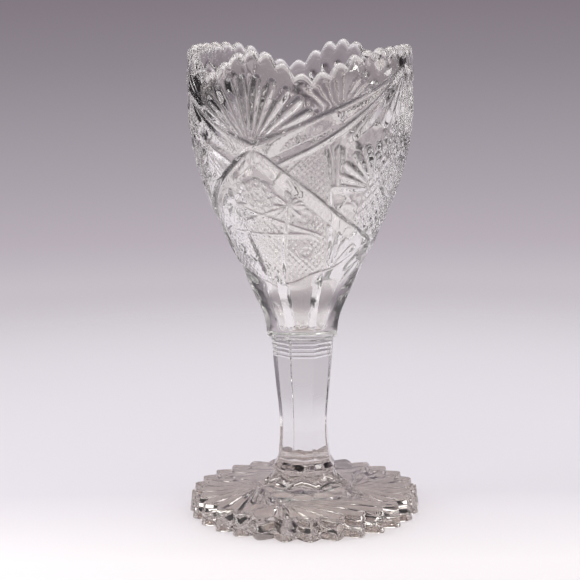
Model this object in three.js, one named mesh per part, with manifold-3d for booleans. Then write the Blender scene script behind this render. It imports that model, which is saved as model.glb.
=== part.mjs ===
// Pressed glass pedestal vase: a lobed bowl on an octagonal stem and a toothed round foot.
// Millimetres, +Z up, origin on the floor under the middle of the foot.
// Azimuths are in degrees, counted from the bowl's mirror plane, anticlockwise seen from above.
import * as THREE from 'three';
import { mergeVertices } from 'three/addons/utils/BufferGeometryUtils.js';
import Module from 'manifold-3d';

const wasm = await Module();
wasm.setup();

// The mirror plane runs through both narrow lobes. It is turned from the -Y side by this angle.
const MIRROR_AZIMUTH = -25.5;

// Foot
const FOOT_RADIUS = 61.8; // over the tips of the teeth
const FOOT_EDGE_HEIGHT = 12;
const FOOT_HEIGHT = 30; // floor to the joint with the stem
const TOOTH_COUNT = 28; // a multiple of 4, so that the plinth's corners fall on columns
const TOOTH_DEPTH = 6;
const TOOTH_PHASE = 2.4; // azimuth of one tip
const TOOTH_BEVEL = 1;
const REST_RING_WIDTH = 7;
const UNDERSIDE_RECESS = 3.2;
const PLINTH_FLARE = 2.6; // how far the plinth widens from its top to its lower edge
const PLINTH_HEIGHT = 6.5;
const PLINTH_LEDGE = 0.4; // how far the plinth's top reaches past the stem's corners
const DOME_RADIUS = 27; // where the steep cone round the plinth runs out
const RAY_WIDTH = 5;
const RAY_DEPTH = 1.5;

// Stem
const STEM_LENGTH = 65.5; // between its two joint faces
const STEM_TOP_CORNER = 17.7; // centre to corner of the octagon
const STEM_WAIST_CORNER = 13.6;
const STEM_BASE_CORNER = 14.8;
const RING_COUNT = 4;
const RING_PITCH = 2.35;
const RING_DEPTH = 0.75;

// Bowl
const BOWL_HEIGHT = 154.5; // joint face to the highest bead
const HEEL_LEDGE = 0.5; // how far the bowl's lower face reaches past the stem's corners
const HEEL_FLARE = 1.8; // how far the heel widens above that face
const HEEL_HEIGHT = 2.6;
const BELLY_RADIUS = 59.2;
const RIM_WALL = 6.8;
const FLOOR_WALL = 11.4; // side wall beside the cavity's floor
const FLARE_WALL = 13.9; // thickest wall, where the bowl flares
const FLOOR_THICKNESS = 4.5;
const FLOOR_RADIUS = 5.5; // flat middle of the cavity's floor
const BEAD_COUNT = 40;
const BEAD_RADIUS = 4.2;
const BEAD_PROUD = 0.8; // how far a bead stands out of the wall on both sides
const RIM_DROP = 12; // from the top of a lobe to the valley beside it
const NARROW_HALF_ANGLE = 30; // centre of a narrow lobe to the valley

// Bowl pattern. A pattern point holds an azimuth and a share of the bowl's height.
const BAND_VERTEX = new THREE.Vector2(0, 0.685); // under a narrow lobe
const BAND_PEAK = new THREE.Vector2(90, 0.93); // under a broad lobe's rim
const SIDE_FAN = new THREE.Vector2(68.6, 0.54);
const FRONT_STAR = new THREE.Vector2(0, 0.534);
const SIDE_STAR = new THREE.Vector2(90, 0.564);
const MITRE_WIDTH = 2.5;
const MITRE_SLOPE = 0.55; // depth of a mitre for its width
const FLUTE_DEPTH = 2;
const STAR_RADIUS = 14;
const STAR_BUTTON = 4.5; // radius of the plain middle of a star
const STAR_POINTS = 8;
const TOOL_PROUD = 0.6; // how far a cutting tool stands out of the surface that it cuts

const SIDES = 8;
const BOWL_COLUMNS = 40; // a multiple of 8, so that the panels' corners fall on columns

const { clamp, degToRad, euclideanModulo, lerp, radToDeg, smoothstep } = THREE.MathUtils;

// Heights and sizes that follow from the ones above
const STEM_BASE = FOOT_HEIGHT;
const BOWL_BASE = STEM_BASE + STEM_LENGTH;
const CAVITY_BASE = BOWL_BASE + FLOOR_THICKNESS;
const CORNER_TO_MEAN = octagon(360 / SIDES / 4);
const HEEL_RADIUS = (STEM_TOP_CORNER + HEEL_LEDGE) * CORNER_TO_MEAN;
const NECK_RADIUS = HEEL_RADIUS + HEEL_FLARE;

function pointAt(azimuth, radius, height) {
  const angle = degToRad(azimuth + MIRROR_AZIMUTH);
  return new THREE.Vector3(radius * Math.sin(angle), -radius * Math.cos(angle), height);
}

// Distance to the side of an octagon whose corners lie on a circle of radius 1, one at azimuth 0.
function octagon(azimuth) {
  const step = 360 / SIDES;
  const fromMiddle = euclideanModulo(azimuth, step) - step / 2;
  return Math.cos(degToRad(step / 2)) / Math.cos(degToRad(fromMiddle));
}

// Smooth value along a list of [share, value] pairs.
function curveThrough(pairs) {
  const shares = pairs.map((pair) => pair[0]);
  const values = pairs.map((pair) => pair[1]);
  const interpolant = new THREE.CubicInterpolant(shares, values, 1);
  return (share) => interpolant.evaluate(share)[0];
}

function evenly(count, make) {
  return Array.from({ length: count }, (_, i) => make(i / count, i));
}

function middleOf(ring) {
  const sum = ring.reduce((total, point) => total.add(point), new THREE.Vector3());
  return sum.divideScalar(ring.length);
}

// Closed solid through rings of equally many points, each counted anticlockwise seen from the
// last ring's side. A loop joins the last ring to the first, and otherwise both ends are closed.
function ringSolid(rings, loop = false) {
  const count = rings[0].length;
  const points = rings.flat();
  const index = [];
  for (let row = 0; row < rings.length - (loop ? 0 : 1); row += 1) {
    const below = row * count;
    const above = ((row + 1) % rings.length) * count;
    for (let i = 0; i < count; i += 1) {
      const next = (i + 1) % count;
      index.push(below + i, below + next, above + next, below + i, above + next, above + i);
    }
  }
  if (!loop) {
    const last = (rings.length - 1) * count;
    for (let i = 0; i < count; i += 1) {
      const next = (i + 1) % count;
      index.push(points.length, next, i);
      index.push(points.length + 1, last + i, last + next);
    }
    points.push(middleOf(rings[0]), middleOf(rings.at(-1)));
  }
  const geometry = new THREE.BufferGeometry().setFromPoints(points);
  geometry.setIndex(index);
  return geometry;
}

function toManifold(geometry) {
  const bare = geometry.clone();
  bare.deleteAttribute('normal');
  bare.deleteAttribute('uv');
  const merged = mergeVertices(bare, 1e-5);
  return new wasm.Manifold(new wasm.Mesh({
    numProp: 3,
    vertProperties: new Float32Array(merged.attributes.position.array),
    triVerts: new Uint32Array(merged.index.array),
  }));
}

function toGeometry(manifold) {
  const mesh = manifold.getMesh();
  const geometry = new THREE.BufferGeometry();
  geometry.setAttribute('position', new THREE.BufferAttribute(mesh.vertProperties, 3));
  geometry.setIndex(new THREE.BufferAttribute(mesh.triVerts, 1));
  return geometry;
}

// Cuts the tools from a body, and drops the chips of glass that two crossing cuts set free.
function carve(body, tools) {
  const cut = tools.reduce((solid, tool) => solid.subtract(toManifold(tool)), body);
  return cut.decompose().reduce((a, b) => (a.volume() > b.volume() ? a : b));
}

// One section of a cutting tool: a V for a mitre, or a flat-bottomed trough for a flute.
function toolRing(centre, outward, along, { width, depth, round }) {
  const across = along.clone().cross(outward).normalize();
  const lip = width / 2 * (1 + TOOL_PROUD / depth);
  const section = round
    ? [[TOOL_PROUD, -width / 2 - 0.3], [TOOL_PROUD, width / 2 + 0.3],
      [-depth, width * 0.2], [-depth, -width * 0.2]]
    : [[TOOL_PROUD, -lip], [TOOL_PROUD, lip], [-depth, 0]];
  return section.map(([outwards, sideways]) => (
    centre.clone().addScaledVector(outward, outwards).addScaledVector(across, sideways)));
}

// Bowl outline: share of the widening from neck to belly, by share of the bowl's height.
const outline = curveThrough([
  [0, 0], [0.05, 0.012], [0.09, 0.046], [0.125, 0.1], [0.178, 0.195], [0.25, 0.335],
  [0.42, 0.648], [0.58, 0.881], [0.75, 0.985], [0.87, 1], [1, 0.975],
]);

function roundRadius(height) {
  const above = height - BOWL_BASE;
  const heelCut = HEEL_FLARE * (1 - smoothstep(above, -HEEL_HEIGHT / 4, HEEL_HEIGHT));
  return lerp(NECK_RADIUS, BELLY_RADIUS, outline(above / BOWL_HEIGHT)) - heelCut;
}

// The bowl's outer radius: eight panels at the heel that fade into a round.
function outerRadius(azimuth, height) {
  const panelled = 1 - smoothstep((height - BOWL_BASE) / BOWL_HEIGHT, 0.08, 0.3);
  return roundRadius(height) * lerp(1, octagon(azimuth) / CORNER_TO_MEAN, panelled);
}

// Wall of the bowl: even beside the cavity's lowest part, thickest where the bowl flares, and
// thinning from there to the rim. Shares are of the cavity's depth, from its floor.
const wallAt = curveThrough([
  [0, FLOOR_WALL], [0.06, FLOOR_WALL], [0.09, lerp(FLOOR_WALL, FLARE_WALL, 0.12)],
  [0.16, FLARE_WALL], [0.2, FLARE_WALL], [0.33, lerp(RIM_WALL, FLARE_WALL, 0.8)],
  [0.6, lerp(RIM_WALL, FLARE_WALL, 0.3)], [0.8, lerp(RIM_WALL, FLARE_WALL, 0.07)], [1, RIM_WALL],
]);

function innerRadius(height) {
  const share = (height - CAVITY_BASE) / (BOWL_HEIGHT - FLOOR_THICKNESS);
  const rounding = Math.min(share / 0.015, 1);
  return (roundRadius(height) - wallAt(share)) * Math.sqrt(1 - (1 - rounding) ** 2);
}

// The rim rises in two narrow and two broad lobes. This is the drop below the highest bead.
function rimDrop(azimuth) {
  const fromNarrow = 90 - Math.abs(90 - euclideanModulo(azimuth, 180));
  const narrow = fromNarrow < NARROW_HALF_ANGLE;
  const span = narrow ? NARROW_HALF_ANGLE : 90 - NARROW_HALF_ANGLE;
  const away = narrow ? fromNarrow : 90 - fromNarrow;
  const bend = (away / span) ** (narrow ? 1.2 : 2.1);
  return RIM_DROP * Math.sin(bend * Math.PI / 2) ** 2;
}

function beadHeight(azimuth) {
  return BOWL_BASE + BOWL_HEIGHT - BEAD_RADIUS - rimDrop(azimuth);
}

function bowlBody() {
  const outerShares = [0, 0.018, 0.05, 0.09, 0.16, 0.25, 0.35, 0.46, 0.6, 0.78, 1];
  const innerShares = [1, 0.7, 0.44, 0.27, 0.16, 0.08, 0.012, 0];
  const outer = outerShares.map((share) => evenly(BOWL_COLUMNS, (turn) => {
    const height = lerp(BOWL_BASE, beadHeight(turn * 360), share);
    return pointAt(turn * 360, outerRadius(turn * 360, height), height);
  }));
  const inner = innerShares.map((share) => evenly(BOWL_COLUMNS, (turn) => {
    const height = lerp(CAVITY_BASE, beadHeight(turn * 360), share);
    return pointAt(turn * 360, Math.max(innerRadius(height), FLOOR_RADIUS), height);
  }));
  return ringSolid([...outer, ...inner]);
}

function bead(azimuth) {
  const height = beadHeight(azimuth);
  const centre = pointAt(azimuth, outerRadius(azimuth, height) - RIM_WALL / 2, height);
  const geometry = new THREE.SphereGeometry(BEAD_RADIUS, 8, 4);
  geometry.rotateX(Math.PI / 2);
  geometry.scale(1, (RIM_WALL / 2 + BEAD_PROUD) / BEAD_RADIUS, 1);
  geometry.rotateZ(degToRad(azimuth + MIRROR_AZIMUTH));
  geometry.translate(centre.x, centre.y, centre.z);
  return geometry;
}

// Point of the bowl's outer skin at a pattern point.
function skin({ x: azimuth, y: share }) {
  const height = BOWL_BASE + share * BOWL_HEIGHT;
  return pointAt(azimuth, outerRadius(azimuth, height), height);
}

function skinNormal({ x, y }) {
  const around = skin({ x: x + 1, y }).sub(skin({ x: x - 1, y }));
  const up = skin({ x, y: y + 0.01 }).sub(skin({ x, y: y - 0.01 }));
  return around.cross(up).normalize();
}

// Pattern point at a distance and a direction from another. Direction 0 is up, 90 is rightwards.
function placeFrom(point, distance, direction) {
  const angle = degToRad(direction);
  const radius = roundRadius(BOWL_BASE + point.y * BOWL_HEIGHT);
  return new THREE.Vector2(
    point.x + radToDeg(distance * Math.sin(angle) / radius),
    point.y + distance * Math.cos(angle) / BOWL_HEIGHT,
  );
}

// Size of a cut, by share of its length.
const endsRunOut = (t) => Math.min(1, 0.3 + 7 * t, 0.3 + 7 * (1 - t));
const petalSwell = (t) => (t < 0.7 ? lerp(0.25, 1, t / 0.7) : lerp(1, 0.6, (t - 0.7) / 0.3));
const even = () => 1;

// A cut holds its path over the skin, which gives a pattern point by share of its length.
function mitre(points, width = MITRE_WIDTH) {
  const curve = points.length > 2 ? new THREE.SplineCurve(points) : new THREE.LineCurve(...points);
  const length = skin(points[0]).distanceTo(skin(points.at(-1)));
  return {
    path: (t) => curve.getPoint(t), width, depth: width * MITRE_SLOPE,
    steps: Math.max(2, Math.round(length / 14)), swell: endsRunOut,
  };
}

function flute(start, end, { width, round }) {
  return {
    path: (t) => start.clone().lerp(end, t), width, depth: FLUTE_DEPTH, steps: 3,
    swell: petalSwell, round,
  };
}

// Flutes fanned out from one point, between two directions.
function fan(point, { from, to, count, inner, outer, width, round = false }) {
  return evenly(count, (_, i) => {
    const direction = count > 1 ? lerp(from, to, i / (count - 1)) : from;
    return flute(placeFrom(point, inner, direction), placeFrom(point, outer, direction),
      { width, round });
  });
}

// A round star: a ring mitre and the V cuts between its points.
function star(point) {
  const ring = {
    path: (t) => placeFrom(point, STAR_RADIUS, t * 360), width: MITRE_WIDTH,
    depth: MITRE_WIDTH * MITRE_SLOPE, steps: 10, swell: even, loop: true,
  };
  const cuts = evenly(STAR_POINTS, (turn) => {
    const direction = turn * 360 + 180 / STAR_POINTS;
    return mitre([placeFrom(point, STAR_BUTTON, direction),
      placeFrom(point, STAR_RADIUS - 1.6, direction)], STAR_RADIUS * 0.27);
  });
  return [ring, ...cuts];
}

// Cuts of one quarter of the bowl, from a narrow lobe's middle to a broad lobe's middle.
function quarterCuts() {
  const at = (azimuth, share) => new THREE.Vector2(azimuth, share);
  const bandWidth = MITRE_WIDTH * 1.3;
  const armWidth = MITRE_WIDTH * 1.8;
  return [
    mitre([BAND_VERTEX, BAND_PEAK], bandWidth),
    mitre([at(9, 0.645), at(30, 0.685), at(60, 0.815), BAND_PEAK], bandWidth),
    mitre([BAND_VERTEX, at(38, 0.495), at(62, 0.4), at(90, 0.345)], armWidth),
    mitre([at(0, 0.205), at(37, 0.247), at(60, 0.275), at(90, 0.345)], armWidth),
    mitre([at(17, 0.575), at(13, 0.4), at(7, 0.215)]),
    mitre([at(39, 0.7), at(42, 0.45), at(45, 0.262)]),
    mitre([at(-40, 0.38), at(32, 0.505)]),
    ...fan(BAND_VERTEX,
      { from: 6.7, to: 60, count: 5, inner: 7, outer: 36, width: 6.4, round: true }),
    ...fan(BAND_PEAK, { from: 188, to: 216, count: 3, inner: 6, outer: 34, width: 5 }),
    ...fan(BAND_PEAK, { from: 231, to: 231, count: 1, inner: 8, outer: 50, width: 7 }),
    ...fan(SIDE_FAN, { from: -80, to: -10, count: 3, inner: 4, outer: 21, width: 6 }),
  ];
}

// The same cut at other azimuths, where change maps an azimuth to its new one.
function moved(cut, change) {
  const path = (t) => {
    const point = cut.path(t);
    return point.setX(change(point.x));
  };
  return { ...cut, path };
}

function patternCuts() {
  const quarter = quarterCuts();
  const mirror = quarter.map((cut) => moved(cut, (azimuth) => -azimuth));
  const half = [...quarter, ...mirror, ...star(FRONT_STAR), ...star(SIDE_STAR)];
  return [...half, ...half.map((cut) => moved(cut, (azimuth) => azimuth + 180))];
}

// Cutting tool that follows a cut's path over the skin.
function skinTool({ path, steps, swell, loop = false, width, depth, round = false }) {
  const ring = (t) => {
    const here = path(t);
    const [before, after] = [t - 1e-4, t + 1e-4].map((near) => (
      skin(path(loop ? near : clamp(near, 0, 1)))));
    const along = after.sub(before).normalize();
    const size = swell(t);
    return toolRing(skin(here), skinNormal(here), along,
      { width: width * size, depth: depth * size, round });
  };
  return ringSolid(evenly(loop ? steps : steps + 1, (_, i) => ring(i / steps)), loop);
}

function bowlGeometry() {
  const beads = evenly(BEAD_COUNT, (turn) => toManifold(bead(turn * 360)));
  const body = beads.reduce((solid, one) => solid.add(one), toManifold(bowlBody()));
  return toGeometry(carve(body, patternCuts().map(skinTool)));
}

// Stem: an octagonal taper with moulded grooves under the bowl.
function stemGeometry() {
  const cornerAt = curveThrough([
    [0, STEM_BASE_CORNER], [0.1, lerp(STEM_WAIST_CORNER, STEM_BASE_CORNER, 0.35)],
    [0.3, STEM_WAIST_CORNER], [0.6, lerp(STEM_WAIST_CORNER, STEM_TOP_CORNER, 0.42)],
    [1, STEM_TOP_CORNER],
  ]);
  const ringsBase = STEM_LENGTH - RING_COUNT * RING_PITCH;
  const plainRows = 14;
  const plain = evenly(plainRows + 1, (_, i) => [ringsBase * i / plainRows, 0]);
  const grooves = evenly(RING_COUNT, (_, i) => [
    [0.25, RING_DEPTH], [0.5, RING_DEPTH], [0.7, 0], [1, 0],
  ].map(([share, cut]) => [ringsBase + (i + share) * RING_PITCH, cut]));
  const rings = [...plain, ...grooves.flat()].map(([height, cut]) => (
    evenly(SIDES, (turn) => (
      pointAt(turn * 360, cornerAt(height / STEM_LENGTH) - cut, STEM_BASE + height)))));
  return ringSolid(rings);
}

// Foot: its columns run through tooth tips and valleys, and turn to the plinth's corners inside.
function footBody(restInner) {
  const columns = TOOTH_COUNT * 2;
  const valley = FOOT_RADIUS - TOOTH_DEPTH;
  const toothed = (height, inset) => evenly(columns, (turn, i) => (
    pointAt(turn * 360 + TOOTH_PHASE, (i % 2 ? valley : FOOT_RADIUS) - inset, height)));
  const round = (height, radius) => evenly(columns, (turn) => (
    pointAt(turn * 360 + TOOTH_PHASE, radius, height)));
  const panelled = (height, corner, share) => evenly(columns, (turn) => (
    pointAt(turn * 360, corner * lerp(1, octagon(turn * 360), share), height)));
  const plinthTop = STEM_BASE_CORNER + PLINTH_LEDGE;
  const plinthFoot = plinthTop + PLINTH_FLARE;
  const plinthBase = FOOT_HEIGHT - PLINTH_HEIGHT;
  const rise = (share) => lerp(FOOT_EDGE_HEIGHT, plinthBase, share);
  return ringSolid([
    round(UNDERSIDE_RECESS, restInner * 0.5),
    round(UNDERSIDE_RECESS, restInner - UNDERSIDE_RECESS),
    round(0, restInner),
    toothed(0, TOOTH_BEVEL),
    toothed(TOOTH_BEVEL, 0),
    toothed(FOOT_EDGE_HEIGHT - TOOTH_BEVEL, 0),
    toothed(FOOT_EDGE_HEIGHT, TOOTH_BEVEL),
    round(rise(0.06), valley - 3),
    round(rise(0.12), lerp(valley, DOME_RADIUS, 0.6)),
    panelled(rise(0.26), DOME_RADIUS, 0.5),
    panelled(rise(0.58), lerp(DOME_RADIUS, plinthFoot, 0.6), 0.9),
    panelled(plinthBase, plinthFoot - 0.2, 1),
    panelled(plinthBase + 0.8, plinthFoot, 1),
    panelled(FOOT_HEIGHT, plinthTop, 1),
  ]);
}

// A V ray pressed up into the foot's underside, from a point near the dome to a rim azimuth.
function rayTool(start, end) {
  const down = new THREE.Vector3(0, 0, -1);
  const along = end.clone().sub(start).normalize();
  const stations = [[0, 0.25], [0.75, 1], [1, 0.5]];
  return ringSolid(stations.map(([t, size]) => toolRing(start.clone().lerp(end, t), down, along,
    { width: RAY_WIDTH * size, depth: RAY_DEPTH * size })));
}

function footGeometry() {
  const restInner = FOOT_RADIUS - TOOTH_DEPTH - REST_RING_WIDTH;
  const ends = restInner - UNDERSIDE_RECESS - 1;
  const fans = [
    { vertex: -70, from: -96, to: -18, count: 4 },
    { vertex: 0, from: 26, to: 74, count: 3 },
  ];
  const tools = fans.flatMap(({ vertex, from, to, count }) => [0, 180].flatMap((turn) => {
    const start = pointAt(vertex + turn, DOME_RADIUS, UNDERSIDE_RECESS);
    return evenly(count, (_, i) => rayTool(start,
      pointAt(lerp(from, to, i / (count - 1)) + turn, ends, UNDERSIDE_RECESS)));
  }));
  return toGeometry(carve(toManifold(footBody(restInner)), tools));
}

function glass(color, roughness) {
  return new THREE.MeshStandardMaterial({
    color, roughness, metalness: 0, transparent: true, opacity: 0.4,
  });
}

function piece(name, geometry, material) {
  const mesh = new THREE.Mesh(geometry, material);
  mesh.name = name;
  return mesh;
}

const group = new THREE.Group();
group.add(piece('foot', footGeometry(), glass(0xc9c8c4, 0.05)));
group.add(piece('stem', stemGeometry(), glass(0xd6d6d3, 0.03)));
group.add(piece('bowl', bowlGeometry(), glass(0xd0d0cd, 0.05)));

export default group;
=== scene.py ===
"""Looks of the pressed glass pedestal vase.

The glass is modelled in millimetres in a turned frame: azimuths are in degrees, counted from the
bowl's mirror plane, anticlockwise seen from above. It is put into metres when a mesh is made.
"""
import copy
import math

import bpy
import numpy as np
from mathutils import Matrix, Vector


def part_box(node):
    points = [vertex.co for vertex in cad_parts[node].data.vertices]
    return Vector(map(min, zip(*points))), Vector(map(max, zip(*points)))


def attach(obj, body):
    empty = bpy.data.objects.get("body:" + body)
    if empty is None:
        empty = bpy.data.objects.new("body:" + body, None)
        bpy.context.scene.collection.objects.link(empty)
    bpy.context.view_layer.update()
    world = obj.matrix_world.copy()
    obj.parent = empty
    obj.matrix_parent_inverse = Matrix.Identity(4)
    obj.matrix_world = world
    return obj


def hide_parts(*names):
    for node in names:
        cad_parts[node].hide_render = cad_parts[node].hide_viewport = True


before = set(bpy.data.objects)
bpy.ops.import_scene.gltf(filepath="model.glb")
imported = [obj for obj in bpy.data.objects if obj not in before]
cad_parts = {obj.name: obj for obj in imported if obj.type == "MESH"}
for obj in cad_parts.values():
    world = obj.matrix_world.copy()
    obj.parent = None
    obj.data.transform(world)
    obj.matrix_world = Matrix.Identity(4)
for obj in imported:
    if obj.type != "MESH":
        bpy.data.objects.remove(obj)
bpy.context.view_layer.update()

MM = 0.001
MIRROR_AZIMUTH = -25.5  # turn of the bowl's mirror plane from the -Y side
HALF_SIDE = 22.5  # half of the angle that one side of the octagon takes up

# Heights, from the frame
STEM_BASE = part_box("stem")[0].z / MM
STEM_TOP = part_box("stem")[1].z / MM
VASE_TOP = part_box("bowl")[1].z / MM
STEM_LENGTH = STEM_TOP - STEM_BASE
BOWL_HEIGHT = VASE_TOP - STEM_TOP

# Foot
FOOT_RADIUS = 61.8
FOOT_EDGE_HEIGHT = 12.0
TOOTH_COUNT = 28
TOOTH_DEPTH = 6.0
TOOTH_PHASE = 2.4  # azimuth of one tooth's tip
TOOTH_BULGE = 1.25  # more than 1 makes a tooth's tip blunter than a plain V
TOOTH_BEVEL = 0.8
TOOTH_DRAFT = 1.2  # how much narrower the teeth's edge is at its top, so that it leaves the mould
VALLEY_RADIUS = FOOT_RADIUS - TOOTH_DEPTH
REST_RING_WIDTH = 7.0
UNDERSIDE_RECESS = 3.2
RECESS_SLOPE = 14.0  # width of the slope from the rest ring up to the recess
TOP_RISE = 2.6  # how far the foot's top rises from the teeth to the rise's inner radius
TOP_RISE_RADIUS = 24.0
CONE_RADIUS = 22.5  # where the foot's top starts to climb to a corner of the plinth
CONE_TONGUE = 3.5  # how much further out it starts at the middle of a side

# Rays and hollows pressed into the foot's underside
RAY_DEPTH = 3.6
RAY_WIDTH = 13.0
RAY_END = 58.0
RAY_FADE = 1.2, 5.0  # distances from the teeth's edge between which the rays set in
RAY_FANS = [  # azimuth and radius where the rays of a fan start, and the teeth that they run to
    ((-70, 24.0), range(-8, 0)),
    ((-1.3, 27.5), range(2, 8)),
]
RAYS_BETWEEN = [  # azimuth and radius where a single ray starts, and the azimuth where it ends
    ((8.1, 24.0), -13),
    ((-10.8, 24.0), 14),
]
HOLLOW_RING = 14.5
HOLLOW_RADIUS = 6.6
HOLLOW_DEPTH = 2.4

# Stem
STEM_TOP_CORNER = 17.7
STEM_WAIST_CORNER = 13.6
STEM_BASE_CORNER = 14.8
EDGE_FILLET = 0.6  # rounding of the octagon's corners
RING_COUNT = 4
RING_PITCH = 2.35
RING_DEPTH = 0.5
RING_GROOVE = 0.35, 0.3  # middle and half width of a ring's groove, as shares of the pitch

# Plinth
PLINTH_HEIGHT = 6.5
PLINTH_FLARE = 2.7
PLINTH_LIP = 0.6  # rounding of its lower edge
PLINTH_SCALLOP = 1.1  # how far each side of its lower edge hangs below the corners
PLINTH_STEP = 1.2  # how far the foot's top ends below it
PLINTH_BASE = STEM_BASE - PLINTH_HEIGHT
PLINTH_CORNER = STEM_BASE_CORNER + PLINTH_FLARE

# Bowl
NECK_RADIUS = 18.9
BELLY_RADIUS = 59.2
HEEL_HEIGHT = 2.2
PANEL_FADE = 0.14, 0.3  # shares of its height between which the octagon turns into a circle
RIM_WALL = 6.8
FLOOR_WALL = 11.4
FLARE_WALL = 13.9
FLOOR_THICKNESS = 4.5
FLOOR_ROUNDING = 2.2
CAVITY_FLOOR = STEM_TOP + FLOOR_THICKNESS
BEAD_COUNT = 40
BEAD_DEPTH = 3.6
BEAD_ROOT = 0.955  # share of the outer skin's height above which the beads shape it
RIM_EDGE = 3.3  # height of the rim's rounding
RIM_ROLL = 4.5  # how far the beads reach down the inner wall
RIM_DROP = 12.0  # from the tops of the lobes to the low places between them
NARROW_HALF_ANGLE = 30.0  # half of the angle that a narrow lobe takes up
NARROW_BEND = 1.2  # how late a narrow lobe bends down from its top
WIDE_BEND = 2.1

# Glass: its colour, and the size and height in metres of the waves in its surface. The bowl's colour
# is the glass's own faint warm tinge. The stem's and the foot's are darker though it is one glass:
# painted shade, which in the foot stands for the floor in its shadow seen through it.
BOWL_GLASS = (0.984, 0.974, 0.944), 0.011, 0.0002
STEM_GLASS_AND_SHADE = (0.925, 0.92, 0.92), 0.02, 0.0001
FOOT_GLASS_AND_SHADE = (0.785, 0.73, 0.69), 0.012, 0.00015
GLASS_IOR = 1.52
SHADOW_TINT = (0.86, 0.855, 0.845, 1)
MARK_SCALE = 60  # handling marks in a metre
MARK_ROUGHNESS = 0.05
CREASE_ANGLE = 38  # degrees between two faces from which their edge shades sharply

# Camera of the photograph
CAMERA_AT = (0.0, -1.0, 0.302605)
CAMERA_AIM = (-0.00656, 0.0, 0.120215)
CAMERA_LENS = 118.86  # millimetres
CAMERA_SENSOR = 36  # millimetres
CAMERA_ROLL = -0.011869  # radians

# Grid
BOWL_COLUMNS = 720
QUARTER_COLUMNS = BOWL_COLUMNS // 4
PLAIN_ROWS = 18
PATTERN_ROWS = 215
PLAIN_SHARE = 0.19  # share of the outer skin's height below which its rows are further apart
FOOT_COLUMNS = TOOTH_COUNT * 20
STEM_COLUMNS = 360
BOWL_TRIANGLES = 195000


def spline(pairs):
    """A natural cubic spline through [x, y] pairs, as a function."""
    x, y = np.array(pairs, float).T
    h = np.diff(x)
    slopes = np.diff(y) / h
    n = len(x)
    system = np.eye(n)
    right = np.zeros(n)
    for i in range(1, n - 1):
        system[i, i - 1:i + 2] = h[i - 1], 2 * (h[i - 1] + h[i]), h[i]
        right[i] = 6 * (slopes[i] - slopes[i - 1])
    bend = np.linalg.solve(system, right)

    def value(at):
        at = np.clip(at, x[0], x[-1])
        i = np.clip(np.searchsorted(x, at) - 1, 0, n - 2)
        a, b = x[i + 1] - at, at - x[i]
        w = h[i]
        return ((bend[i] * a ** 3 + bend[i + 1] * b ** 3) / (6 * w)
                + (y[i] / w - bend[i] * w / 6) * a + (y[i + 1] / w - bend[i + 1] * w / 6) * b)

    return value


def smoothstep(x, low, high):
    """Eases from 0 to 1 between two values of x."""
    t = np.clip((x - low) / (high - low), 0, 1)
    return t * t * (3 - 2 * t)


def lerp(a, b, t):
    """Goes from a to b as t goes from 0 to 1."""
    return a + (b - a) * t


def place(azimuth, radius, height):
    """Points in millimetres in the row's frame."""
    angle = np.radians(azimuth + MIRROR_AZIMUTH)
    angle, radius, height = np.broadcast_arrays(angle, radius, height)
    return np.stack([radius * np.sin(angle), -radius * np.cos(angle), height], axis=-1)


def octagon(azimuth, corner):
    """Radius of a regular octagon with rounded corners, one of them at azimuth 0."""
    half = math.radians(HALF_SIDE)
    azimuth, corner = np.broadcast_arrays(np.asarray(azimuth, float), corner)
    apothem = corner * math.cos(half)
    from_corner = np.radians((azimuth + HALF_SIDE) % (2 * HALF_SIDE) - HALF_SIDE)
    from_middle = half - np.abs(from_corner)
    side = apothem / np.cos(from_middle)
    centre = (apothem - EDGE_FILLET) / math.cos(half)
    inside = np.maximum(EDGE_FILLET ** 2 - (centre * np.sin(from_corner)) ** 2, 0)
    rounded = centre * np.cos(from_corner) + np.sqrt(inside)
    tangent = np.arctan((apothem - EDGE_FILLET) * math.tan(half) / apothem)
    return np.where(from_middle > tangent, rounded, side)


def side_share(azimuth):
    """0 at a corner of the octagon and 1 at the middle of a side."""
    return np.abs((azimuth + HALF_SIDE) % (2 * HALF_SIDE) - HALF_SIDE) / HALF_SIDE


MEAN_OF_OCTAGON = math.cos(math.radians(HALF_SIDE)) / math.cos(math.radians(HALF_SIDE / 2))

# Shares of the bowl's height, and how far its radius has gone there from the neck's to the belly's
outline = spline([
    (0, 0), (0.05, 0.012), (0.09, 0.046), (0.125, 0.1), (0.178, 0.195), (0.25, 0.335),
    (0.42, 0.648), (0.58, 0.881), (0.75, 0.985), (0.87, 1), (1, 0.975),
])


def round_radius(height):
    """The bowl's outer radius before it is panelled."""
    above = height - STEM_TOP
    heel = NECK_RADIUS - STEM_TOP_CORNER * MEAN_OF_OCTAGON
    cut = heel * (1 - np.sqrt(1 - np.clip(1 - above / HEEL_HEIGHT, 0, 1) ** 2))
    return lerp(NECK_RADIUS, BELLY_RADIUS, outline(above / BOWL_HEIGHT)) - cut


def panelled(azimuth, height, mean):
    """A radius that is an octagon's near the neck and a circle's higher up."""
    share = 1 - smoothstep((height - STEM_TOP) / BOWL_HEIGHT, *PANEL_FADE)
    return lerp(mean, octagon(azimuth, mean / MEAN_OF_OCTAGON), share)


def outer_radius(azimuth, height):
    """Radius of the bowl's outer skin."""
    return panelled(azimuth, height, round_radius(height))


# Shares of the cavity's height, and the wall's thickness there
wall_at = spline([
    (0, FLOOR_WALL), (0.06, FLOOR_WALL), (0.09, lerp(FLOOR_WALL, FLARE_WALL, 0.12)),
    (0.16, FLARE_WALL), (0.2, FLARE_WALL), (0.33, lerp(RIM_WALL, FLARE_WALL, 0.8)),
    (0.6, lerp(RIM_WALL, FLARE_WALL, 0.3)), (0.8, lerp(RIM_WALL, FLARE_WALL, 0.07)),
    (1, RIM_WALL),
])


def inner_radius(height):
    """The cavity's radius before it is panelled."""
    share = (height - CAVITY_FLOOR) / (BOWL_HEIGHT - FLOOR_THICKNESS)
    return round_radius(height) - wall_at(share)


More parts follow.
